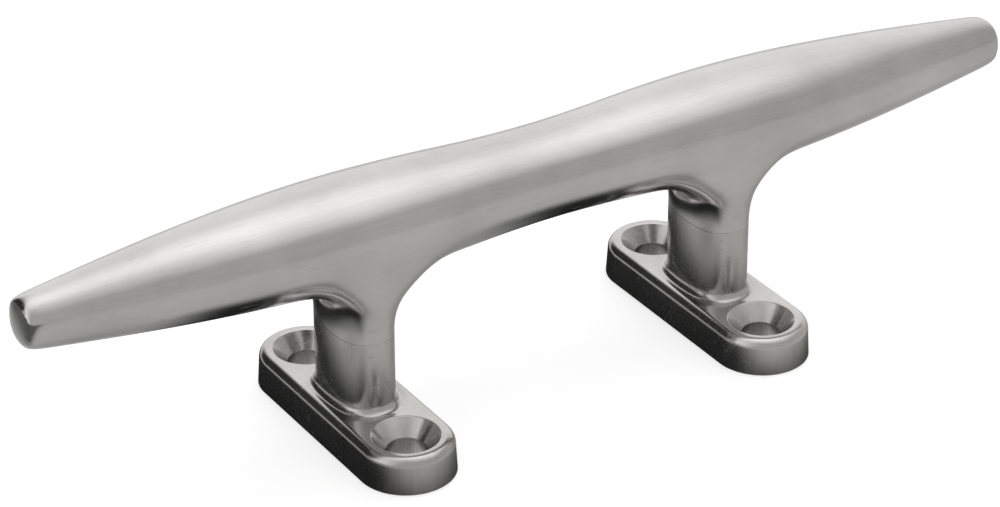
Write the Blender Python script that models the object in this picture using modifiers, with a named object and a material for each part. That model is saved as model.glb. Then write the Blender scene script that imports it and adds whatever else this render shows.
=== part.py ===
"""Open-base horn cleat: a tapered bar screwed down onto two pedestals.

Metres, +Z up. The origin lies on the deck, midway between the feet. The bar runs along X, and each
foot runs across it, along Y. Left is -X and front is -Y.

A pedestal is one casting, a foot and a leg. A countersunk screw comes up through it from below and
pulls it against a stub under the bar, and two dowel pins stop it from turning.
"""

import math

import bmesh
import bpy

# The bar
BAR_LENGTH = 0.2032
BAR_AXIS_HEIGHT = 0.0402
BAR_WIDTH_AT_LEGS = 0.0218
BAR_DEPTH_AT_LEGS = 0.0184
BAR_WIDTH_AT_MIDDLE = 0.0182
BAR_DEPTH_AT_MIDDLE = 0.0157
TIP_DIAMETER = 0.0088
TIP_ROUNDING = 0.0022
TIP_END_SHARE = 0.82  # width of the tip's outermost ring, as a share of the tip's
MIDDLE_STATIONS = (0, 0.4, 0.75, 1)  # cage rings from the middle to where a flare starts
HORN_STATIONS = (0.16, 0.36, 0.56, 0.75, 0.9)  # cage rings from a flare's outer end to the tip

# The legs, and the stubs under the bar that carry on their section and flare into the bar
LEG_SPACING = 0.0755
LEG_THICKNESS = 0.0110
LEG_WIDTH = 0.0183
JOINT_HEIGHT = 0.0213
FLARE_REACH_INSIDE = 0.0070
FLARE_REACH_OUTSIDE = 0.0046
FLARE_SWELL = 0.0006
# A stub's cage rings, as shares of its drop from the bar, of the flare's reach and of its swell
STUB_RINGS = ((0.16, 0.48, 1), (0.46, 0.13, 0.33), (0.78, 0, 0), (1, 0, 0))

# The feet
FOOT_LENGTH = 0.0531
FOOT_WIDTH = 0.0179
FOOT_THICKNESS = 0.0071
FOOT_EDGE_RADIUS = 0.0017
FOOT_DRAFT = 0.0003
LEG_FILLET_HEIGHT = 0.0016
LEG_FILLET_REACH = 0.0016
EDGE_BREAK = 0.0003

# The holes for the deck screws, one near each end of a foot
DECK_HOLE_SPACING = 0.0352
DECK_HOLE_DIAMETER = 0.0068
COUNTERSINK_DIAMETER = 0.0124

# The screws and pins that hold a pedestal to the bar
SCREW_DIAMETER = 0.0060
SCREW_LENGTH = 0.0350
SCREW_HEAD_DIAMETER = 0.0113
SCREW_HEAD_RECESS = 0.0006
SOCKET_ACROSS_FLATS = 0.0040
SOCKET_DEPTH = 0.0024
THREAD_RUN_OUT = 0.0020
DOWEL_DIAMETER = 0.0030
DOWEL_LENGTH = 0.0100
DOWEL_CHAMFER = 0.0003
GAP = 0.0003

# How finely round things are cut
RING_POINTS = 16
ROUND_STEPS = 32
FILLET_STEPS = 4
SHARP_ANGLE = math.radians(35)

# How square the sections are: 2 is an ellipse, and more is squarer
BAR_EXPONENT = 2.3
LEG_EXPONENT = 2.6

LEG_X = LEG_SPACING / 2
SCREW_HOLE_RADIUS = SCREW_DIAMETER / 2 + GAP
DOWEL_OFFSET = (SCREW_HOLE_RADIUS + LEG_WIDTH / 2) / 2
OVERRUN = 0.002  # how far a cutter runs past what it cuts


def superellipse(exponent, count):
    """Points round a unit superellipse, anticlockwise from the first axis."""
    power = 2 / exponent
    points = []
    for i in range(count):
        c, s = math.cos(math.tau * i / count), math.sin(math.tau * i / count)
        points.append((math.copysign(abs(c) ** power, c), math.copysign(abs(s) ** power, s)))
    return points


def spline(control, steps=1):
    """Points on the closed cubic B-spline of a polygon, the curve that subdivision draws from it."""
    count, points = len(control), []
    for i in range(count):
        for step in range(steps):
            t = step / steps
            weights = ((1 - t) ** 3, 3 * t**3 - 6 * t**2 + 4, -3 * t**3 + 3 * t**2 + 3 * t + 1, t**3)
            near = [control[(i + k) % count] for k in (-1, 0, 1, 2)]
            points.append(tuple(sum(w * p[axis] for w, p in zip(weights, near)) / 6 for axis in (0, 1)))
    return points


def section_cage(exponent):
    """The polygon whose subdivided curve is a superellipse of half-widths 1."""
    outline = superellipse(exponent, RING_POINTS)
    shrunk = spline(outline)
    across, up = (max(abs(p[axis]) for p in shrunk) for axis in (0, 1))
    return [(p[0] / across, p[1] / up) for p in outline]


BAR_SECTION = section_cage(BAR_EXPONENT)
LEG_SECTION = section_cage(LEG_EXPONENT)


def bar_size(x, at_middle, at_legs, at_tip):
    """A width of the bar at x: waisted between the legs, and tapering in a quarter cosine to the tips."""
    x = abs(x)
    if x < LEG_X:
        return at_middle + (at_legs - at_middle) * (1 - math.cos(math.pi * x / LEG_X)) / 2
    share = (x - LEG_X) / (BAR_LENGTH / 2 - LEG_X)
    return at_tip + (at_legs - at_tip) * math.cos(math.pi / 2 * share)


def bar_ring(x, shrink=1.0):
    """The bar's cage points at x, from +Y over the top."""
    half_width = bar_size(x, BAR_WIDTH_AT_MIDDLE, BAR_WIDTH_AT_LEGS, TIP_DIAMETER) / 2 * shrink
    half_depth = bar_size(x, BAR_DEPTH_AT_MIDDLE, BAR_DEPTH_AT_LEGS, TIP_DIAMETER) / 2 * shrink
    return [(x, half_width * y, BAR_AXIS_HEIGHT + half_depth * z) for y, z in BAR_SECTION]


def bar_stations():
    """Cage rings along the bar as (x, shrink), closer together at the legs and at the blunt tips."""
    inner = LEG_X - LEG_THICKNESS / 2 - FLARE_REACH_INSIDE
    outer = LEG_X + LEG_THICKNESS / 2 + FLARE_REACH_OUTSIDE
    tip = BAR_LENGTH / 2
    half = [(inner * share, 1) for share in MIDDLE_STATIONS] + [(LEG_X, 1), (outer, 1)]
    half += [(outer + (tip - outer) * share, 1) for share in HORN_STATIONS]
    half += [(tip - TIP_ROUNDING / 2, 1), (tip, TIP_END_SHARE)]
    return [(-x, shrink) for x, shrink in reversed(half[1:])] + half


def stub_rings(x):
    """Cage rings of the stub at x, from under the bar down to the joint face."""
    bottom = JOINT_HEIGHT + GAP
    underside = BAR_AXIS_HEIGHT - BAR_DEPTH_AT_LEGS / 2
    drop = underside - bottom
    rings = []
    for share, flare, swell in STUB_RINGS:
        half_y = LEG_WIDTH / 2 + FLARE_SWELL * swell
        ring = []
        for px, py in LEG_SECTION:
            reach = FLARE_REACH_OUTSIDE if px * x > 0 else FLARE_REACH_INSIDE
            half_x = LEG_THICKNESS / 2 + reach * flare
            ring.append((x + half_x * px, half_y * py, underside - drop * share))
        rings.append(ring)
    return rings


def patch_outline(rings, middle):
    """The bar's cage points round the patch that a stub grows from, starting at +X as its rings do."""
    before, at, after = rings[middle - 1], rings[middle], rings[middle + 1]
    far, near = RING_POINTS // 2 + 1, RING_POINTS - 1
    low = RING_POINTS * 3 // 4
    loop = after[low : near + 1] + [at[near]] + before[near : far - 1 : -1] + [at[far]]
    return loop + after[far:low]


def faces_between(bm, first, second):
    """Quads between two loops of equally many points."""
    made = []
    for i in range(len(first)):
        j = (i + 1) % len(first)
        made.append(bm.faces.new((first[i], first[j], second[j], second[i])))
    return made


def finish_mesh(bm, name):
    """A smooth mesh with its faces outward and its hard edges kept."""
    bmesh.ops.recalc_face_normals(bm, faces=bm.faces)
    mesh = bpy.data.meshes.new(name)
    bm.to_mesh(mesh)
    bm.free()
    mesh.shade_smooth()
    mesh.set_sharp_from_angle(angle=SHARP_ANGLE)
    return mesh


def horn_mesh():
    """The bar's cage, with a stub drawn down out of its underside at each leg."""
    bm = bmesh.new()
    stations = bar_stations()
    rings = [[bm.verts.new(point) for point in bar_ring(x, shrink)] for x, shrink in stations]
    leg_stations = [i for i, (x, _) in enumerate(stations) if abs(abs(x) - LEG_X) < 1e-9]
    for i, (first, second) in enumerate(zip(rings, rings[1:])):
        for face, quad in enumerate(faces_between(bm, first, second)):
            under = RING_POINTS // 2 < face < RING_POINTS - 1
            if under and (i in leg_stations or i + 1 in leg_stations):
                bm.faces.remove(quad)
    bm.faces.new(rings[0])
    bm.faces.new(rings[-1])
    crease = bm.edges.layers.float.new("crease_edge")
    for middle in leg_stations:
        loop = patch_outline(rings, middle)
        for points in stub_rings(stations[middle][0]):
            lower = [bm.verts.new(point) for point in points]
            faces_between(bm, loop, lower)
            loop = lower
        for edge in bm.faces.new(loop).edges:
            edge[crease] = 1
    loose = [edge for edge in bm.edges if not edge.link_faces]
    bmesh.ops.delete(bm, geom=loose, context="EDGES")
    return finish_mesh(bm, "horn")


def foot_outline(inset):
    """Points round an oblong foot, its sides drawn in by inset, in the leg section's order."""
    radius = FOOT_WIDTH / 2 - inset
    straight = (FOOT_LENGTH - FOOT_WIDTH) / 2
    quarter_steps = ROUND_STEPS // 4
    quarter = [(radius, 0)]
    for step in range(quarter_steps):
        angle = math.pi / 2 * step / (quarter_steps - 1)
        quarter.append((radius * math.cos(angle), straight + radius * math.sin(angle)))
    upper = quarter + [(-x, y) for x, y in reversed(quarter[:-1])]
    return upper + [(x, -y) for x, y in reversed(upper[1:-1])]


def foot_rings():
    """(outline, height) up the foot, from its broken bottom edge over its rounded top edge."""
    shoulder = FOOT_THICKNESS - FOOT_EDGE_RADIUS
    rings = [(foot_outline(EDGE_BREAK), 0), (foot_outline(0), EDGE_BREAK)]
    rings.append((foot_outline(FOOT_DRAFT), shoulder))
    for step in range(1, FILLET_STEPS + 1):
        angle = math.pi / 2 * step / FILLET_STEPS
        inset = FOOT_DRAFT + FOOT_EDGE_RADIUS * (1 - math.cos(angle))
        rings.append((foot_outline(inset), shoulder + FOOT_EDGE_RADIUS * math.sin(angle)))
    return rings


def leg_rings():
    """(outline, height) up the leg, from where its fillet leaves the foot to the joint face."""
    side_room = (FOOT_WIDTH - LEG_THICKNESS) / 2 - FOOT_DRAFT - FOOT_EDGE_RADIUS - EDGE_BREAK
    outline = spline(LEG_SECTION, ROUND_STEPS // RING_POINTS)
    rings = []
    for step in range(FILLET_STEPS + 1):
        angle = math.pi / 2 * step / FILLET_STEPS
        out = 1 - math.sin(angle)
        half_x = LEG_THICKNESS / 2 + side_room * out
        half_y = LEG_WIDTH / 2 + LEG_FILLET_REACH * out
        height = FOOT_THICKNESS + LEG_FILLET_HEIGHT * (1 - math.cos(angle))
        rings.append(([(half_x * x, half_y * y) for x, y in outline], height))
    half_x, half_y = LEG_THICKNESS / 2, LEG_WIDTH / 2
    for inset, height in ((0, JOINT_HEIGHT - EDGE_BREAK), (EDGE_BREAK, JOINT_HEIGHT)):
        rings.append(([((half_x - inset) * x, (half_y - inset) * y) for x, y in outline], height))
    return rings


def pedestal_mesh():
    """Foot and leg as one loft of level outlines."""
    bm = bmesh.new()
    loops = []
    for outline, height in foot_rings() + leg_rings():
        loops.append([bm.verts.new((x, y, height)) for x, y in outline])
    for lower, upper in zip(loops, loops[1:]):
        faces_between(bm, lower, upper)
    bm.faces.new(loops[0])
    bm.faces.new(loops[-1])
    return finish_mesh(bm, "pedestal")


def turned_mesh(name, profile):
    """A profile of (radius, height), down its outer side from axis to axis, turned about Z."""
    bm = bmesh.new()
    points = [bm.verts.new((radius, 0, height)) for radius, height in profile]
    for upper, lower in zip(points, points[1:]):
        bm.edges.new((upper, lower))
    mesh = bpy.data.meshes.new(name)
    bm.to_mesh(mesh)
    bm.free()
    return mesh


def turn_round(target):
    """Turns an object's profile all the way round Z."""
    turn = target.modifiers.new("turn", "SCREW")
    turn.steps = turn.render_steps = ROUND_STEPS
    turn.use_merge_vertices = True
    turn.merge_threshold = 0.00001
    turn.use_smooth_shade = True


def tie_screw_profile(gap=0.0):
    """Half section of a tie screw from its tip to its head, or of its seat, which is larger by gap."""
    radius, head = SCREW_DIAMETER / 2 + gap, SCREW_HEAD_DIAMETER / 2 + gap
    rim = SCREW_HEAD_RECESS + EDGE_BREAK + gap
    top = SCREW_HEAD_RECESS + SCREW_LENGTH
    chamfer = 0 if gap else SCREW_DIAMETER / 12
    bottom = -OVERRUN if gap else SCREW_HEAD_RECESS
    end = top + THREAD_RUN_OUT if gap else top
    shank = [(0, end), (radius - chamfer, end)]
    if chamfer:
        shank.append((radius, end - chamfer))
    return shank + [(radius, rim + head - radius), (head, rim), (head, bottom), (0, bottom)]


def deck_hole_profile():
    """Half section of a countersunk through hole, with a straight lip above that clears the leg's fillet."""
    radius, rim = DECK_HOLE_DIAMETER / 2, COUNTERSINK_DIAMETER / 2
    lip = FOOT_THICKNESS + LEG_FILLET_HEIGHT
    floor = FOOT_THICKNESS - (rim - radius)
    return [(0, lip), (rim, lip), (rim, FOOT_THICKNESS), (radius, floor), (radius, -OVERRUN), (0, -OVERRUN)]


def dowel_profile(gap=0.0):
    """Half section of a dowel pin that spans the joint, or of its hole, which is larger by gap."""
    radius = DOWEL_DIAMETER / 2 + gap
    middle = JOINT_HEIGHT + GAP / 2
    half, chamfer = DOWEL_LENGTH / 2 + gap, 0 if gap else DOWEL_CHAMFER
    top = [(0, middle + half), (radius - chamfer, middle + half)]
    bottom = [(radius - chamfer, middle - half), (0, middle - half)]
    edges = [(radius, middle + half - chamfer), (radius, middle - half + chamfer)] if chamfer else []
    return top + edges + bottom


def socket_mesh():
    """The hexagonal key socket of a tie screw."""
    bm = bmesh.new()
    radius = SOCKET_ACROSS_FLATS / math.sqrt(3)
    bmesh.ops.create_cone(
        bm, cap_ends=True, segments=6, radius1=radius, radius2=radius, depth=SOCKET_DEPTH + OVERRUN
    )
    bmesh.ops.translate(bm, verts=bm.verts, vec=(0, 0, SCREW_HEAD_RECESS + (SOCKET_DEPTH - OVERRUN) / 2))
    return finish_mesh(bm, "key_socket")


def new_collection(name):
    made = bpy.data.collections.new(name)
    bpy.context.scene.collection.children.link(made)
    return made


def metal(name, colour, roughness):
    material = bpy.data.materials.new(name)
    material.use_nodes = True
    shader = material.node_tree.nodes["Principled BSDF"]
    shader.inputs["Base Color"].default_value = (*colour, 1)
    shader.inputs["Metallic"].default_value = 1
    shader.inputs["Roughness"].default_value = roughness
    return material


def place(name, mesh, collection, x=0.0, y=0.0, material=None):
    """A named object of this mesh, standing over (x, y)."""
    made = bpy.data.objects.new(name, mesh)
    made.location = (x, y, 0)
    collection.objects.link(made)
    if material and not mesh.materials:
        mesh.materials.append(material)
    return made


def cutter(name, mesh, collection, x=0.0, y=0.0, turned=True):
    made = place(name, mesh, collection, x, y)
    made.hide_render = True
    made.display_type = "WIRE"
    if turned:
        turn_round(made)
    return made


def cut(target, tool):
    boolean = target.modifiers.new("cut " + tool.name, "BOOLEAN")
    boolean.operation = "DIFFERENCE"
    boolean.object = tool


def build():
    for old in list(bpy.data.objects):
        bpy.data.objects.remove(old)
    parts, cutters = new_collection("horn_cleat"), new_collection("cutters")
    stainless = metal("polished_stainless", (0.60, 0.59, 0.58), 0.16)
    fastener_steel = metal("fastener_steel", (0.50, 0.50, 0.50), 0.32)

    horn = place("horn", horn_mesh(), parts, material=stainless)
    smooth = horn.modifiers.new("smooth", "SUBSURF")
    smooth.levels = smooth.render_levels = 1

    meshes = {
        "pedestal": pedestal_mesh(),
        "tie_screw": turned_mesh("tie_screw", tie_screw_profile()),
        "tie_screw_seat": turned_mesh("tie_screw_seat", tie_screw_profile(GAP)),
        "deck_hole": turned_mesh("deck_hole", deck_hole_profile()),
        "dowel": turned_mesh("dowel", dowel_profile()),
        "dowel_hole": turned_mesh("dowel_hole", dowel_profile(GAP)),
        "key_socket": socket_mesh(),
    }
    for side, x in (("left", -LEG_X), ("right", LEG_X)):
        pedestal = place(f"{side}_pedestal", meshes["pedestal"], parts, x, material=stainless)
        screw = place(f"{side}_tie_screw", meshes["tie_screw"], parts, x, material=fastener_steel)
        turn_round(screw)
        cut(screw, cutter(f"{side}_key_socket", meshes["key_socket"], cutters, x, turned=False))

        seat = cutter(f"{side}_tie_screw_seat", meshes["tie_screw_seat"], cutters, x)
        cut(pedestal, seat)
        cut(horn, seat)
        for end, turn in (("front", -1), ("back", 1)):
            hole = cutter(
                f"{side}_{end}_deck_hole", meshes["deck_hole"], cutters, x, turn * DECK_HOLE_SPACING / 2
            )
            cut(pedestal, hole)
            y = turn * DOWEL_OFFSET
            pin = place(f"{side}_{end}_dowel_pin", meshes["dowel"], parts, x, y, fastener_steel)
            turn_round(pin)
            pin_hole = cutter(f"{side}_{end}_dowel_hole", meshes["dowel_hole"], cutters, x, y)
            cut(pedestal, pin_hole)
            cut(horn, pin_hole)


build()
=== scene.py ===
"""Looks of an open-base horn cleat in polished stainless steel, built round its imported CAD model.

Metres, +Z up, in the CAD model's frame. The bar runs along X and the feet along Y.
"""

import math

import bmesh
import bpy
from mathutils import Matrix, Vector


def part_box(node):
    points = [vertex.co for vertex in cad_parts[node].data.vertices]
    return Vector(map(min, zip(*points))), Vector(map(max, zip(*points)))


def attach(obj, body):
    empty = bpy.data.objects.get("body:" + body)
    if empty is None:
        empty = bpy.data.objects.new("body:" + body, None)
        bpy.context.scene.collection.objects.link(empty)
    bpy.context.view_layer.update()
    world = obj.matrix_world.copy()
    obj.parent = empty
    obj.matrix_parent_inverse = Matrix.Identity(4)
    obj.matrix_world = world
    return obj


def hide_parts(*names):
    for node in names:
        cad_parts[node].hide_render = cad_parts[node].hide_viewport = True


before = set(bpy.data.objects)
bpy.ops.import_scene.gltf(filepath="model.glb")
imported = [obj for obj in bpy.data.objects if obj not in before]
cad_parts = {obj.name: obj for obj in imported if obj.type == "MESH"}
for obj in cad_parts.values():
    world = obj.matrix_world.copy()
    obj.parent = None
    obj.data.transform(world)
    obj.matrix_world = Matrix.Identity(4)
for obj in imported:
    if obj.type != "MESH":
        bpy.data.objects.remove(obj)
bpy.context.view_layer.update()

# Sizes that the CAD model gives
HORN_LOW, HORN_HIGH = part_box("horn")
FOOT_LOW, FOOT_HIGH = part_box("right_pedestal")
SCREW_LOW, SCREW_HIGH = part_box("right_tie_screw")
DOWEL_LOW, DOWEL_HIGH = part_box("right_back_dowel_pin")
BAR_LENGTH = HORN_HIGH.x - HORN_LOW.x
BAR_WIDTH_AT_LEGS = HORN_HIGH.y - HORN_LOW.y
LEG_X = (FOOT_LOW.x + FOOT_HIGH.x) / 2
FOOT_LENGTH = FOOT_HIGH.y - FOOT_LOW.y
FOOT_WIDTH = FOOT_HIGH.x - FOOT_LOW.x
JOINT_HEIGHT = FOOT_HIGH.z
SCREW_HEAD_DIAMETER = SCREW_HIGH.x - SCREW_LOW.x
DOWEL_DIAMETER = DOWEL_HIGH.x - DOWEL_LOW.x
DOWEL_OFFSET = (DOWEL_LOW.y + DOWEL_HIGH.y) / 2

# The bar
BAR_DEPTH_AT_LEGS = 0.0184
BAR_WIDTH_AT_MIDDLE = 0.0182
BAR_DEPTH_AT_MIDDLE = 0.0157
BAR_AXIS_HEIGHT = HORN_HIGH.z - BAR_DEPTH_AT_LEGS / 2 + 0.00006
TIP_DIAMETER = 0.0088
TIP_ROUNDING = 0.0022
TIP_END_SHARE = 0.82
MIDDLE_STATIONS = (0, 0.4, 0.75, 1)
HORN_STATIONS = (0.16, 0.36, 0.56, 0.75, 0.9)
BAR_SMOOTHING = 3

# The legs and the stubs under the bar
LEG_THICKNESS = 0.0110
LEG_WIDTH = 0.0183
FLARE_REACH_INSIDE = 0.0070
FLARE_REACH_OUTSIDE = 0.0046
FLARE_SWELL = 0.0006
STUB_RINGS = ((0.16, 0.48, 1), (0.46, 0.13, 0.33), (0.78, 0, 0), (1, 0, 0))
SEAM = 0.00002
SEAM_EDGE = 0.00008

# The feet
FOOT_THICKNESS = 0.0071
FOOT_EDGE_RADIUS = 0.0017
FOOT_DRAFT = 0.0003
LEG_FILLET_HEIGHT = 0.0016
LEG_FILLET_REACH = 0.0016
EDGE_BREAK = 0.0003

# Holes, screws and pins
DECK_HOLE_SPACING = 0.0352
DECK_HOLE_DIAMETER = 0.0068
COUNTERSINK_DIAMETER = 0.0124
RIM_RADIUS = 0.0004
THROAT_RADIUS = 0.0002
SCREW_DIAMETER = 0.0060
THREAD_PITCH = 0.0010
THREAD_DEPTH = 0.0006
THREAD_LENGTH = 0.0240
THREAD_STEPS = 10
SCREW_TIP_CHAMFER = 0.0005
SOCKET_ACROSS_FLATS = 0.0040
SOCKET_DEPTH = 0.0024
SOCKET_CHAMFER = 0.0003
GAP = 0.0003

RING_POINTS = 16
OUTLINE_STEPS = 96
FILLET_STEPS = 12
SCREW_STEPS = 48
BAR_EXPONENT = 2.3
LEG_EXPONENT = 2.6
OVERRUN = 0.002
DOWEL_BORE_STEPS = 32
DECK_HOLE_HALF_ANGLE = 45
CRISP_ANGLE = 35

# The thread's form, as shares of a pitch: the flat at each crest, and how steeply the flanks fall from it
THREAD_CREST_FLAT = 1 / 8
THREAD_FLANK_SLOPE = 4 / 3
THREAD_RUN_OUT_TURNS = 2

# The steel's finish and its painted shade: texture scales per metre, and heights in metres
BAR_GRAIN = (70, 2400, 2400)
PEDESTAL_GRAIN = (1600, 1600, 90)
TURNED_GRAIN = (5000, 5000, 1)
NOISE_ROUGHNESS = 0.55
CLOUD_SCALE = 55.0
RIPPLE_SCALE = 230.0
RIPPLE_HEIGHT = 0.000006
LINE_HEIGHT = 0.0000006
SCRATCH_SCALES = (120, 1700, 1300)
SCRATCH_EDGE = (0.66, 0.74)
PIT_SCALE = 700.0
PIT_EDGE = (0.04, 0.13)
PIT_RARITY = (0.90, 0.93)
PIT_DEPTH = 0.00001
# Painted shade: ambient occlusion over this reach darkens the steel's colour toward this near-black in corners and
# recesses
PAINTED_SHADE_REACH = 0.014
PAINTED_SHADE_EDGE = (0.25, 0.82)
PAINTED_SHADE_SAMPLES = 8
PAINTED_SHADE_COLOUR = (0.06, 0.055, 0.05)
DARK_STEEL_SHARE = 0.4

# What lies under the cleat: the floor that the camera sees, and the sheet that the steel reflects, a stand-in for the
# floor with painted shadows, painted shade and painted light
STAGE_SIZE = 8
FLOOR_HEIGHT = -0.0001
FLOOR_WHITE = 0.62
FLOOR_GLOW = 0.66
SHEET_GREY = 0.78
# Painted shadows on the sheet, beside each foot and under the bar
SHADOW_GREY = 0.03
SHADOW_NEAR = 0.002
SHADOW_FAR = 0.023
SHADOW_BACK = 0.009
SHADOW_LEFT = 0.005
BAR_SHADOW = 0.85
BAR_SHADOW_EDGE = (0.004, 0.026)
# Painted shade towards the left of the sheet, and painted light towards its back
LEFT_PAINTED_SHADE = 0.2
LEFT_PAINTED_SHADE_EDGE = (-0.15, -0.10)
BACK_PAINTED_LIGHT = 1.2
BACK_PAINTED_LIGHT_EDGE = (0.03, 0.12)

# The studio: white behind, grey in front, with one dark patch and a softbox overhead
STUDIO_TURN = 0.45
STUDIO_EDGE = (-0.45, 0.45)
STUDIO_FRONT = 0.50
STUDIO_BACK = 1.0
FLAG_DIRECTION = (-0.52, 0.74, 0.42)
FLAG_EDGE = (0.72, 0.92)
FLAG_DARK = 0.03
SOFTBOX_PLACE = (0.17, 0.01, 0.50)
SOFTBOX_SIZE = (0.90, 1.20)
SOFTBOX_GLOW = 0.62

# The camera, at the photograph's angle
CAMERA_AZIMUTH = math.radians(-32.59)
CAMERA_ELEVATION = math.radians(29.24)
CAMERA_DISTANCE = 0.6713
CAMERA_LENS = 134.67
CAMERA_SENSOR = 36
CAMERA_NEAREST = 0.01
AIM_LEFT = 0.00641
AIM_DOWN = 0.00102


def superellipse(exponent, count):
    """Points round a unit superellipse, anticlockwise from the first axis."""
    power = 2 / exponent
    points = []
    for i in range(count):
        c, s = math.cos(math.tau * i / count), math.sin(math.tau * i / count)
        points.append((math.copysign(abs(c) ** power, c), math.copysign(abs(s) ** power, s)))
    return points


def spline(control, steps=1):
    """Points on the closed cubic B-spline of a polygon, the curve that subdivision draws from it."""
    count, points = len(control), []
    for i in range(count):
        for step in range(steps):
            t = step / steps
            weights = ((1 - t) ** 3, 3 * t**3 - 6 * t**2 + 4, -3 * t**3 + 3 * t**2 + 3 * t + 1, t**3)
            near = [control[(i + k) % count] for k in (-1, 0, 1, 2)]
            points.append(tuple(sum(w * p[axis] for w, p in zip(weights, near)) / 6 for axis in (0, 1)))
    return points


def section_cage(exponent):
    """The polygon whose subdivided curve is a superellipse of half-widths 1."""
    outline = superellipse(exponent, RING_POINTS)
    shrunk = spline(outline)
    across, up = (max(abs(p[axis]) for p in shrunk) for axis in (0, 1))
    return [(p[0] / across, p[1] / up) for p in outline]


BAR_SECTION = section_cage(BAR_EXPONENT)
LEG_SECTION = section_cage(LEG_EXPONENT)


def bar_size(x, at_middle, at_legs, at_tip):
    """A width of the bar at x: waisted between the legs, and tapering in a quarter cosine to the tips."""
    x = abs(x)
    if x < LEG_X:
        return at_middle + (at_legs - at_middle) * (1 - math.cos(math.pi * x / LEG_X)) / 2
    share = (x - LEG_X) / (BAR_LENGTH / 2 - LEG_X)
    return at_tip + (at_legs - at_tip) * math.cos(math.pi / 2 * share)


def bar_ring(x, shrink=1.0):
    """The bar's cage points at x, from +Y over the top."""
    half_width = bar_size(x, BAR_WIDTH_AT_MIDDLE, BAR_WIDTH_AT_LEGS, TIP_DIAMETER) / 2 * shrink
    half_depth = bar_size(x, BAR_DEPTH_AT_MIDDLE, BAR_DEPTH_AT_LEGS, TIP_DIAMETER) / 2 * shrink
    return [(x, half_width * y, BAR_AXIS_HEIGHT + half_depth * z) for y, z in BAR_SECTION]


def bar_stations():
    """Cage rings along the bar as (x, shrink), closer together at the legs and at the blunt tips."""
    inner = LEG_X - LEG_THICKNESS / 2 - FLARE_REACH_INSIDE
    outer = LEG_X + LEG_THICKNESS / 2 + FLARE_REACH_OUTSIDE
    tip = BAR_LENGTH / 2
    half = [(inner * share, 1) for share in MIDDLE_STATIONS] + [(LEG_X, 1), (outer, 1)]
    half += [(outer + (tip - outer) * share, 1) for share in HORN_STATIONS]
    half += [(tip - TIP_ROUNDING / 2, 1), (tip, TIP_END_SHARE)]
    return [(-x, shrink) for x, shrink in reversed(half[1:])] + half


def stub_rings(x):
    """Cage rings of the stub at x, from under the bar down to the joint face."""
    bottom = JOINT_HEIGHT + SEAM
    underside = BAR_AXIS_HEIGHT - BAR_DEPTH_AT_LEGS / 2
    drop = underside - bottom
    rings = []
    for share, flare, swell in STUB_RINGS:
        half_y = LEG_WIDTH / 2 + FLARE_SWELL * swell
        ring = []
        for px, py in LEG_SECTION:
            reach = FLARE_REACH_OUTSIDE if px * x > 0 else FLARE_REACH_INSIDE
            half_x = LEG_THICKNESS / 2 + reach * flare
            ring.append((x + half_x * px, half_y * py, underside - drop * share))
        rings.append(ring)
    return rings


def patch_outline(rings, middle):
    """The bar's cage points round the patch that a stub grows from, starting at +X as its rings do."""
    before, at, after = rings[middle - 1], rings[middle], rings[middle + 1]
    far, near = RING_POINTS // 2 + 1, RING_POINTS - 1
    low = RING_POINTS * 3 // 4
    loop = after[low : near + 1] + [at[near]] + before[near : far - 1 : -1] + [at[far]]
    return loop + after[far:low]


def faces_between(bm, first, second):
    """Quads between two loops of equally many points."""
    made = []
    for i in range(len(first)):
        j = (i + 1) % len(first)
        made.append(bm.faces.new((first[i], first[j], second[j], second[i])))
    return made


def object_of(bm, name):
    """A linked object of this bmesh, its faces outward and smooth."""
    bmesh.ops.recalc_face_normals(bm, faces=bm.faces)
    mesh = bpy.data.meshes.new(name)
    bm.to_mesh(mesh)
    bm.free()
    mesh.shade_smooth()
    made = bpy.data.objects.new(name, mesh)
    bpy.context.scene.collection.objects.link(made)
    return made


def apply_modifiers(target):
    """Turns what the modifiers make into the object's own mesh."""
    graph = bpy.context.evaluated_depsgraph_get()
    mesh = bpy.data.meshes.new_from_object(target.evaluated_get(graph))
    target.modifiers.clear()
    target.data = mesh


def cut(target, tools):
    """Takes the tools' shapes out of the target, and removes the tools."""
    for tool in tools:
        boolean = target.modifiers.new("cut", "BOOLEAN")
        boolean.operation = "DIFFERENCE"
        boolean.object = tool
    apply_modifiers(target)
    for tool in tools:
        bpy.data.objects.remove(tool)


def crisp(target):
    """Smooth shading that keeps flats flat and hard edges hard."""
    target.data.shade_smooth()
    target.data.set_sharp_from_angle(angle=math.radians(CRISP_ANGLE))
    weighted = target.modifiers.new("flats", "WEIGHTED_NORMAL")
    weighted.keep_sharp = True
    apply_modifiers(target)


def loft(name, loops):
    """A closed solid skinned over loops of equally many points, with flat ends."""
    bm = bmesh.new()
    rings = [[bm.verts.new(point) for point in loop] for loop in loops]
    for first, second in zip(rings, rings[1:]):
        faces_between(bm, first, second)
    bm.faces.new(rings[0])
    bm.faces.new(rings[-1])
    return object_of(bm, name)


def circle(x, y, radius, height, steps):
    """Points round a level circle."""
    angles = [math.tau * i / steps for i in range(steps)]
    return [(x + radius * math.cos(a), y + radius * math.sin(a), height) for a in angles]


def turned(name, profile, x=0.0, y=0.0, steps=OUTLINE_STEPS):
    """A closed solid turned about the vertical at (x, y) from a (radius, height) profile, flat at both ends."""
    return loft(name, [circle(x, y, radius, height, steps) for radius, height in profile])


def arc(centre, radius, start, end, steps=6):
    """Points round part of a circle, from and to angles in degrees."""
    angles = [math.radians(start + (end - start) * i / steps) for i in range(steps + 1)]
    return [(centre[0] + radius * math.cos(a), centre[1] + radius * math.sin(a)) for a in angles]


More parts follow.
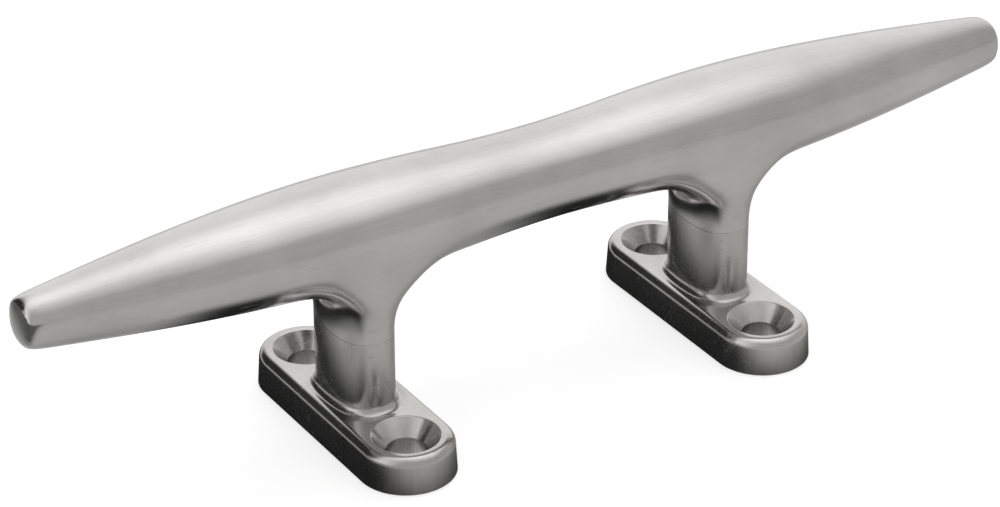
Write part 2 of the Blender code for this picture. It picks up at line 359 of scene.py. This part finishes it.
def tie_screw_bore(x):
    """The bore and seat that a tie screw runs in, its mouth chamfered."""
    radius, head = SCREW_DIAMETER / 2 + GAP, SCREW_HEAD_DIAMETER / 2 + GAP
    rim = SCREW_LOW.z + EDGE_BREAK + GAP
    profile = [(radius, SCREW_HIGH.z + OVERRUN), (radius, rim + head - radius), (head, rim), (head, EDGE_BREAK)]
    return turned("bore", profile + [(head + EDGE_BREAK, 0), (head + EDGE_BREAK, -OVERRUN)], x)


def dowel_bore(x, y):
    """The bore that a dowel pin sits in."""
    radius = DOWEL_DIAMETER / 2 + GAP
    return turned("dowel_bore", [(radius, DOWEL_HIGH.z + GAP), (radius, DOWEL_LOW.z - GAP)], x, y, DOWEL_BORE_STEPS)


def deck_hole(x, y):
    """A countersunk through hole with rounded rims."""
    radius, rim = DECK_HOLE_DIAMETER / 2, COUNTERSINK_DIAMETER / 2
    set_back = math.tan(math.radians(DECK_HOLE_HALF_ANGLE / 2))
    floor = FOOT_THICKNESS - (rim - radius)
    top_rim = arc((rim + set_back * RIM_RADIUS, FOOT_THICKNESS - RIM_RADIUS), RIM_RADIUS, 90, 135)
    throat = arc((radius + THROAT_RADIUS, floor - set_back * THROAT_RADIUS), THROAT_RADIUS, 135, 180)
    profile = [(top_rim[0][0], FOOT_THICKNESS + LEG_FILLET_HEIGHT)] + top_rim + throat
    profile += [(radius, EDGE_BREAK), (radius + EDGE_BREAK, 0), (radius + EDGE_BREAK, -OVERRUN)]
    return turned("deck_hole", profile, x, y)


def thread_radius(angle, height):
    """A tie screw's radius: a thread cut into its upper part, running out at the bottom and chamfered at the tip."""
    start, top = SCREW_HIGH.z - THREAD_LENGTH, SCREW_HIGH.z
    turn = (height / THREAD_PITCH - angle / math.tau) % 1
    depth = min(max((1 - abs(2 * turn - 1) - THREAD_CREST_FLAT) * THREAD_FLANK_SLOPE, 0), 1)
    run_out = min(max((height - start) / (THREAD_RUN_OUT_TURNS * THREAD_PITCH), 0), 1)
    chamfer = SCREW_DIAMETER / 2 - max(0, SCREW_TIP_CHAMFER - (top - height))
    return min(SCREW_DIAMETER / 2 - THREAD_DEPTH * depth * run_out, chamfer)


def make_tie_screw(name, x):
    """A countersunk hex socket screw, head down, with a cut thread."""
    radius, head = SCREW_DIAMETER / 2, SCREW_HEAD_DIAMETER / 2
    bottom, top = SCREW_LOW.z, SCREW_HIGH.z
    rim = bottom + EDGE_BREAK
    edge = EDGE_BREAK / 2
    profile = arc((head - edge, bottom + edge), edge, -90, 0, 4) + [(head, rim)]
    profile += [(radius, rim + head - radius), (radius, top - THREAD_LENGTH)]
    loops = [circle(x, 0, r, height, SCREW_STEPS) for r, height in profile]
    rings = round(THREAD_LENGTH / THREAD_PITCH * THREAD_STEPS)
    for ring in range(1, rings + 1):
        height = top - THREAD_LENGTH + THREAD_LENGTH * ring / rings
        loop = []
        for i in range(SCREW_STEPS):
            angle = math.tau * i / SCREW_STEPS
            at = thread_radius(angle, height)
            loop.append((x + at * math.cos(angle), at * math.sin(angle), height))
        loops.append(loop)
    screw = loft(name, loops)
    corner = SOCKET_ACROSS_FLATS / math.sqrt(3)
    mouth = corner + SOCKET_CHAMFER
    socket = turned("socket", [(corner, bottom + SOCKET_DEPTH), (corner, bottom - OVERRUN)], x, 0, 6)
    chamfer = [(corner - SOCKET_CHAMFER, bottom + 2 * SOCKET_CHAMFER), (mouth, bottom), (mouth, bottom - OVERRUN)]
    cut(screw, [socket, turned("chamfer", chamfer, x)])
    crisp(screw)
    return screw


def make_horn():
    """The bar with its stubs, subdivided from a coarse cage, and bored for the screws and pins."""
    bm = bmesh.new()
    stations = bar_stations()
    rings = [[bm.verts.new(point) for point in bar_ring(x, shrink)] for x, shrink in stations]
    leg_stations = [i for i, (x, _) in enumerate(stations) if abs(abs(x) - LEG_X) < 1e-6]
    for i, (first, second) in enumerate(zip(rings, rings[1:])):
        for face, quad in enumerate(faces_between(bm, first, second)):
            under = RING_POINTS // 2 < face < RING_POINTS - 1
            if under and (i in leg_stations or i + 1 in leg_stations):
                bm.faces.remove(quad)
    bm.faces.new(rings[0])
    bm.faces.new(rings[-1])
    crease = bm.edges.layers.float.new("crease_edge")
    for middle in leg_stations:
        loop = patch_outline(rings, middle)
        for points in stub_rings(stations[middle][0]):
            lower = [bm.verts.new(point) for point in points]
            faces_between(bm, loop, lower)
            loop = lower
        for edge in bm.faces.new(loop).edges:
            edge[crease] = 1
    loose = [edge for edge in bm.edges if not edge.link_faces]
    bmesh.ops.delete(bm, geom=loose, context="EDGES")
    horn = object_of(bm, "polished_horn")
    smooth = horn.modifiers.new("smooth", "SUBSURF")
    smooth.levels = smooth.render_levels = BAR_SMOOTHING
    apply_modifiers(horn)
    tools = []
    for x in (-LEG_X, LEG_X):
        tools += [tie_screw_bore(x), dowel_bore(x, -DOWEL_OFFSET), dowel_bore(x, DOWEL_OFFSET)]
    cut(horn, tools)
    crisp(horn)
    return horn


def foot_outline(inset):
    """Points round an oblong foot, its sides drawn in by inset, starting at +X."""
    radius = FOOT_WIDTH / 2 - inset
    straight = (FOOT_LENGTH - FOOT_WIDTH) / 2
    quarter_steps = OUTLINE_STEPS // 4
    quarter = [(radius, 0)]
    for step in range(quarter_steps):
        angle = math.pi / 2 * step / (quarter_steps - 1)
        quarter.append((radius * math.cos(angle), straight + radius * math.sin(angle)))
    upper = quarter + [(-x, y) for x, y in reversed(quarter[:-1])]
    return upper + [(x, -y) for x, y in reversed(upper[1:-1])]


def foot_rings():
    """(outline, height) up the foot, from its broken bottom edge over its rounded top edge."""
    shoulder = FOOT_THICKNESS - FOOT_EDGE_RADIUS
    rings = [(foot_outline(EDGE_BREAK), 0), (foot_outline(0), EDGE_BREAK)]
    rings.append((foot_outline(FOOT_DRAFT), shoulder))
    for step in range(1, FILLET_STEPS + 1):
        angle = math.pi / 2 * step / FILLET_STEPS
        inset = FOOT_DRAFT + FOOT_EDGE_RADIUS * (1 - math.cos(angle))
        rings.append((foot_outline(inset), shoulder + FOOT_EDGE_RADIUS * math.sin(angle)))
    return rings


def leg_rings():
    """(outline, height) up the leg, from where its fillet leaves the foot to the joint face."""
    side_room = (FOOT_WIDTH - LEG_THICKNESS) / 2 - FOOT_DRAFT - FOOT_EDGE_RADIUS - EDGE_BREAK
    outline = spline(LEG_SECTION, OUTLINE_STEPS // RING_POINTS)
    rings = []
    for step in range(FILLET_STEPS + 1):
        angle = math.pi / 2 * step / FILLET_STEPS
        out = 1 - math.sin(angle)
        half_x = LEG_THICKNESS / 2 + side_room * out
        half_y = LEG_WIDTH / 2 + LEG_FILLET_REACH * out
        height = FOOT_THICKNESS + LEG_FILLET_HEIGHT * (1 - math.cos(angle))
        rings.append(([(half_x * x, half_y * y) for x, y in outline], height))
    for inset, height in ((0, JOINT_HEIGHT - SEAM_EDGE), (SEAM_EDGE, JOINT_HEIGHT)):
        half_x, half_y = LEG_THICKNESS / 2 - inset, LEG_WIDTH / 2 - inset
        rings.append(([(half_x * x, half_y * y) for x, y in outline], height))
    return rings


def make_pedestal(name, centre_x):
    """Foot and leg as one loft of level outlines, bored for its screws and pins."""
    levels = foot_rings() + leg_rings()
    pedestal = loft(name, [[(centre_x + x, y, height) for x, y in outline] for outline, height in levels])
    tools = [tie_screw_bore(centre_x)]
    for side in (-1, 1):
        tools.append(deck_hole(centre_x, side * DECK_HOLE_SPACING / 2))
        tools.append(dowel_bore(centre_x, side * DOWEL_OFFSET))
    cut(pedestal, tools)
    crisp(pedestal)
    return pedestal


def make_stage():
    """A pale floor that only the camera sees, over a grey sheet with painted shadows that only the metal reflects."""
    for name, height in (("floor", FLOOR_HEIGHT), ("reflected_sheet", 2 * FLOOR_HEIGHT)):
        bpy.ops.mesh.primitive_plane_add(size=STAGE_SIZE, location=(0, 0, height))
        sheet = bpy.context.active_object
        sheet.name = name
        sheet.visible_camera = name == "floor"
        sheet.visible_shadow = False
        sheet.visible_diffuse = sheet.visible_glossy = name != "floor"
        sheet.data.materials.append(pale_floor() if name == "floor" else shadow_painted_sheet())


def node(tree, kind, inputs=None, **settings):
    """A new shader node with its settings and its inputs' constants."""
    made = tree.nodes.new(kind)
    for key, value in settings.items():
        setattr(made, key, value)
    for key, value in (inputs or {}).items():
        made.inputs[key].default_value = value
    return made


def noise(tree, place, scale, detail=2.0):
    """The grey value of a noise texture at a place socket."""
    made = node(tree, "ShaderNodeTexNoise", {"Scale": scale, "Detail": detail, "Roughness": NOISE_ROUGHNESS})
    tree.links.new(place, made.inputs["Vector"])
    return made.outputs["Fac"]


def stretched(tree, place, scales):
    """A place socket with its axes scaled."""
    made = node(tree, "ShaderNodeMapping", {"Scale": scales})
    tree.links.new(place, made.inputs["Vector"])
    return made.outputs["Vector"]


def added(tree, *terms):
    """The sum of (socket, weight) terms and plain numbers."""
    total = 0.0
    for term in terms:
        part = math_node(tree, "MULTIPLY", *term) if isinstance(term, tuple) else term
        total = math_node(tree, "ADD", part, total)
    return total


def bumped(tree, height, distance, normal=None):
    """A normal socket raised by a height socket."""
    made = node(tree, "ShaderNodeBump", {"Strength": 1.0, "Distance": distance})
    tree.links.new(height, made.inputs["Height"])
    if normal is not None:
        tree.links.new(normal, made.inputs["Normal"])
    return made.outputs["Normal"]


def turned_place(tree):
    """(radius, height, 0) about the nearer leg's axis, in which a turned part's tool marks are level lines."""
    x, y, z = position_axes(tree)
    across = math_node(tree, "SUBTRACT", math_node(tree, "ABSOLUTE", x), LEG_X)
    squares = math_node(tree, "ADD", math_node(tree, "POWER", across, 2), math_node(tree, "POWER", y, 2))
    made = tree.nodes.new("ShaderNodeCombineXYZ")
    tree.links.new(math_node(tree, "SQRT", squares), made.inputs["X"])
    tree.links.new(z, made.inputs["Y"])
    return made.outputs["Vector"]


def steel(name, dark, light, roughness, grain, pits=0.0, is_turned=False):
    """Bright steel, with polishing lines, soft clouds, a hand-finished ripple, faint scratches, and painted shade that
    darkens its corners and recesses and makes them duller.
    """
    material = bpy.data.materials.new(name)
    material.use_nodes = True
    tree = material.node_tree
    shader = tree.nodes["Principled BSDF"]
    shader.inputs["Metallic"].default_value = 1
    place = node(tree, "ShaderNodeTexCoord").outputs["Object"]
    lines = noise(tree, stretched(tree, turned_place(tree) if is_turned else place, grain), 1.0, 3.0)
    clouds = noise(tree, place, CLOUD_SCALE, 3.0)
    ripple = noise(tree, place, RIPPLE_SCALE, 1.0)
    marks = noise(tree, stretched(tree, place, SCRATCH_SCALES), 1.0, 1.0)
    scratches = smooth_ramp(tree, marks, *SCRATCH_EDGE, 0, 1)
    spots = node(tree, "ShaderNodeTexVoronoi", {"Scale": PIT_SCALE, "Randomness": 1.0})
    tree.links.new(place, spots.inputs["Vector"])
    chosen = node(tree, "ShaderNodeSeparateColor")
    tree.links.new(spots.outputs["Color"], chosen.inputs["Color"])
    pit = smooth_ramp(tree, spots.outputs["Distance"], *PIT_EDGE, pits, 0)
    pit = math_node(tree, "MULTIPLY", pit, smooth_ramp(tree, chosen.outputs["Red"], *PIT_RARITY, 0, 1))
    # Painted shade: ambient occlusion finds corners and recesses, which get a near-black colour and more roughness
    shade_occlusion = node(tree, "ShaderNodeAmbientOcclusion", {"Distance": PAINTED_SHADE_REACH}, samples=PAINTED_SHADE_SAMPLES)
    painted_shade_mask = smooth_ramp(tree, shade_occlusion.outputs["AO"], *PAINTED_SHADE_EDGE, 1, 0)

    # Random tone from clouds, lines, pits and scratches, with painted shade pulling the colour toward near-black in
    # recesses
    shade = added(tree, (clouds, 0.7), (lines, 0.27), (pit, -0.7), (scratches, -0.06), (painted_shade_mask, -0.80), 0.31)
    tint = node(tree, "ShaderNodeValToRGB")
    tint.color_ramp.elements[0].color = (*PAINTED_SHADE_COLOUR, 1)
    tint.color_ramp.elements[1].color = (*light, 1)
    tint.color_ramp.elements.new(DARK_STEEL_SHARE).color = (*dark, 1)
    tree.links.new(shade, tint.inputs["Fac"])
    tree.links.new(tint.outputs["Color"], shader.inputs["Base Color"])

    rough = added(tree, (lines, 0.10), (clouds, 0.08), (scratches, 0.10), (painted_shade_mask, 0.14), (pit, 0.08), roughness - 0.09)
    tree.links.new(rough, shader.inputs["Roughness"])

    normal = bumped(tree, ripple, RIPPLE_HEIGHT)
    normal = bumped(tree, lines, LINE_HEIGHT, normal)
    normal = bumped(tree, added(tree, (pit, -1.0), (scratches, -0.3)), PIT_DEPTH, normal)
    tree.links.new(normal, shader.inputs["Normal"])
    return material


def clear_where(tree, mask):
    """Makes a material transparent where the mask is 1."""
    output = tree.nodes["Material Output"]
    both = tree.nodes.new("ShaderNodeMixShader")
    tree.links.new(mask, both.inputs["Fac"])
    tree.links.new(output.inputs["Surface"].links[0].from_socket, both.inputs[1])
    tree.links.new(node(tree, "ShaderNodeBsdfTransparent").outputs[0], both.inputs[2])
    tree.links.new(both.outputs[0], output.inputs["Surface"])


def pale_floor():
    """A glowing pale floor, clear from below so that the underside can be looked at."""
    material = plain("pale_floor", (FLOOR_WHITE,) * 3)
    shader = material.node_tree.nodes["Principled BSDF"]
    shader.inputs["Emission Color"].default_value = (1, 1, 1, 1)
    shader.inputs["Emission Strength"].default_value = FLOOR_GLOW
    clear_where(material.node_tree, node(material.node_tree, "ShaderNodeNewGeometry").outputs["Backfacing"])
    return material


def math_node(tree, operation, first, second=None):
    """A maths node fed by sockets or constants; gives its output socket."""
    made = tree.nodes.new("ShaderNodeMath")
    made.operation = operation
    for socket, value in zip(made.inputs, (first, second)):
        if value is None:
            continue
        if isinstance(value, (int, float)):
            socket.default_value = value
        else:
            tree.links.new(value, socket)
    return made.outputs[0]


def smooth_ramp(tree, value, low, high, at_low, at_high):
    """A smooth step of a socket, from at_low at low to at_high at high."""
    made = node(tree, "ShaderNodeMapRange", {"From Min": low, "From Max": high, "To Min": at_low, "To Max": at_high},
                interpolation_type="SMOOTHSTEP")
    tree.links.new(value, made.inputs["Value"])
    return made.outputs["Result"]


def position_axes(tree, output="Object"):
    """The X, Y and Z sockets of a texture coordinate."""
    coordinate = node(tree, "ShaderNodeTexCoord")
    parts = node(tree, "ShaderNodeSeparateXYZ")
    tree.links.new(coordinate.outputs[output], parts.inputs["Vector"])
    return parts.outputs["X"], parts.outputs["Y"], parts.outputs["Z"]


def shadow_painted_sheet():
    """Grey, with painted shadows beside each foot and under the bar, painted shade towards the left and painted light
    towards the back, and open under the feet.
    """
    material = plain("shadow_painted_sheet", (SHEET_GREY,) * 3)
    tree = material.node_tree
    x, y, _ = position_axes(tree)
    grey = SHEET_GREY
    # Painted shadow beside each foot
    for leg_x in (-LEG_X, LEG_X):
        from_side = math_node(tree, "ABSOLUTE", math_node(tree, "SUBTRACT", x, leg_x - SHADOW_LEFT))
        beside = math_node(tree, "MAXIMUM", math_node(tree, "SUBTRACT", from_side, FOOT_WIDTH / 2), 0)
        along = math_node(tree, "ABSOLUTE", math_node(tree, "SUBTRACT", y, SHADOW_BACK))
        beyond = math_node(tree, "MAXIMUM", math_node(tree, "SUBTRACT", along, FOOT_LENGTH / 2), 0)
        squares = math_node(tree, "ADD", math_node(tree, "POWER", beside, 2), math_node(tree, "POWER", beyond, 2))
        away = math_node(tree, "SQRT", squares)
        grey = math_node(tree, "MULTIPLY", smooth_ramp(tree, away, SHADOW_NEAR, SHADOW_FAR, SHADOW_GREY, 1), grey)
    # Painted shadow under the bar
    under = smooth_ramp(tree, math_node(tree, "ABSOLUTE", y), *BAR_SHADOW_EDGE, BAR_SHADOW, 1)
    grey = math_node(tree, "MULTIPLY", under, grey)
    # Painted shade towards the left
    left = smooth_ramp(tree, x, *LEFT_PAINTED_SHADE_EDGE, LEFT_PAINTED_SHADE, 1)
    grey = math_node(tree, "MULTIPLY", left, grey)
    # Painted light towards the back
    grey = math_node(tree, "MULTIPLY", smooth_ramp(tree, y, *BACK_PAINTED_LIGHT_EDGE, 1, BACK_PAINTED_LIGHT), grey)
    tree.links.new(grey, tree.nodes["Principled BSDF"].inputs["Base Color"])
    from_leg = math_node(tree, "ABSOLUTE", math_node(tree, "SUBTRACT", math_node(tree, "ABSOLUTE", x), LEG_X))
    end = math_node(tree, "SUBTRACT", math_node(tree, "ABSOLUTE", y), (FOOT_LENGTH - FOOT_WIDTH) / 2)
    end = math_node(tree, "MAXIMUM", end, 0)
    squares = math_node(tree, "ADD", math_node(tree, "POWER", from_leg, 2), math_node(tree, "POWER", end, 2))
    clear_where(tree, math_node(tree, "LESS_THAN", math_node(tree, "SQRT", squares), FOOT_WIDTH / 2))
    return material


def softbox_material():
    """A glow that is strongest in the middle and lets the studio behind it through."""
    material = bpy.data.materials.new("softbox")
    material.use_nodes = True
    tree = material.node_tree
    tree.nodes.clear()
    x, y, _ = position_axes(tree)
    glow = SOFTBOX_GLOW
    for axis, size in ((x, SOFTBOX_SIZE[0]), (y, SOFTBOX_SIZE[1])):
        across = math_node(tree, "ABSOLUTE", axis)
        glow = math_node(tree, "MULTIPLY", smooth_ramp(tree, across, 0.0, size / 2, 1, 0), glow)
    emission = node(tree, "ShaderNodeEmission")
    tree.links.new(glow, emission.inputs["Strength"])
    both = node(tree, "ShaderNodeAddShader")
    tree.links.new(node(tree, "ShaderNodeBsdfTransparent").outputs[0], both.inputs[0])
    tree.links.new(emission.outputs[0], both.inputs[1])
    tree.links.new(both.outputs[0], node(tree, "ShaderNodeOutputMaterial").inputs["Surface"])
    return material


def make_softbox():
    """A large soft light overhead, seen only in the steel."""
    bpy.ops.mesh.primitive_plane_add(size=1, location=SOFTBOX_PLACE)
    box = bpy.context.active_object
    box.name = "softbox"
    box.scale = (*SOFTBOX_SIZE, 1)
    bpy.ops.object.transform_apply(location=False, rotation=False, scale=True)
    box.visible_shadow = False
    box.visible_camera = False
    box.data.materials.append(softbox_material())


def plain(name, colour):
    """A matt material of one colour."""
    material = bpy.data.materials.new(name)
    material.use_nodes = True
    shader = material.node_tree.nodes["Principled BSDF"]
    shader.inputs["Base Color"].default_value = (*colour, 1)
    shader.inputs["Roughness"].default_value = 0.9
    shader.inputs["Specular IOR Level"].default_value = 0
    return material


def make_camera():
    """The camera that the render uses, aimed a little off the cleat's middle as the photograph is cropped."""
    back = Vector((
        math.sin(CAMERA_AZIMUTH) * math.cos(CAMERA_ELEVATION),
        -math.cos(CAMERA_AZIMUTH) * math.cos(CAMERA_ELEVATION),
        math.sin(CAMERA_ELEVATION),
    ))
    right = Vector((math.cos(CAMERA_AZIMUTH), math.sin(CAMERA_AZIMUTH), 0))
    up = back.cross(right)
    centre = Vector((0, 0, HORN_HIGH.z / 2))
    data = bpy.data.cameras.new("camera")
    data.lens = CAMERA_LENS
    data.sensor_width = CAMERA_SENSOR
    data.clip_start = CAMERA_NEAREST
    camera = bpy.data.objects.new("camera", data)
    camera.location = centre + back * CAMERA_DISTANCE
    aim = centre - right * AIM_LEFT - up * AIM_DOWN
    camera.rotation_mode = "QUATERNION"
    camera.rotation_quaternion = (aim - camera.location).to_track_quat("-Z", "Y")
    bpy.context.scene.collection.objects.link(camera)
    bpy.context.scene.camera = camera


def make_world():
    """A studio that is white behind the cleat and grey in front of it, with one dark patch at the left and back."""
    world = bpy.data.worlds.new("studio")
    bpy.context.scene.world = world
    world.use_nodes = True
    tree = world.node_tree
    background = tree.nodes["Background"]
    axes = position_axes(tree, "Generated")
    behind = math_node(tree, "SUBTRACT", axes[1], math_node(tree, "MULTIPLY", axes[0], STUDIO_TURN))
    studio = smooth_ramp(tree, behind, *STUDIO_EDGE, STUDIO_FRONT, STUDIO_BACK)
    toward = [math_node(tree, "MULTIPLY", axis, part) for axis, part in zip(axes, FLAG_DIRECTION)]
    along = math_node(tree, "ADD", math_node(tree, "ADD", toward[0], toward[1]), toward[2])
    flag = smooth_ramp(tree, along, *FLAG_EDGE, 1, FLAG_DARK)
    tree.links.new(math_node(tree, "MULTIPLY", studio, flag), background.inputs["Color"])
    background.inputs["Strength"].default_value = 1


def place_piece(piece, replaced, material):
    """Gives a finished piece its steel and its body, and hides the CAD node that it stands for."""
    piece.data.materials.clear()
    piece.data.materials.append(material)
    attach(piece, "root")
    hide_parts(replaced)


make_camera()
make_world()
bpy.context.scene.view_settings.view_transform = "Standard"

bar_steel = steel("polished_bar_steel", (0.47, 0.46, 0.45), (0.68, 0.675, 0.665), 0.16, BAR_GRAIN)
leg_steel = steel("polished_leg_steel", (0.40, 0.39, 0.38), (0.67, 0.66, 0.65), 0.19, PEDESTAL_GRAIN, pits=0.3)
screw_steel = steel("turned_screw_steel", (0.33, 0.33, 0.33), (0.57, 0.565, 0.56), 0.30, TURNED_GRAIN, is_turned=True)
dowel_steel = steel("ground_dowel_steel", (0.40, 0.40, 0.40), (0.62, 0.62, 0.62), 0.24, TURNED_GRAIN, is_turned=True)

place_piece(make_horn(), "horn", bar_steel)
for side, x in (("left", -LEG_X), ("right", LEG_X)):
    place_piece(make_pedestal(f"polished_{side}_pedestal", x), f"{side}_pedestal", leg_steel)
    place_piece(make_tie_screw(f"threaded_{side}_tie_screw", x), f"{side}_tie_screw", screw_steel)
    for end in ("front", "back"):
        for material_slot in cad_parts[f"{side}_{end}_dowel_pin"].material_slots:
            material_slot.material = dowel_steel

make_stage()
make_softbox()
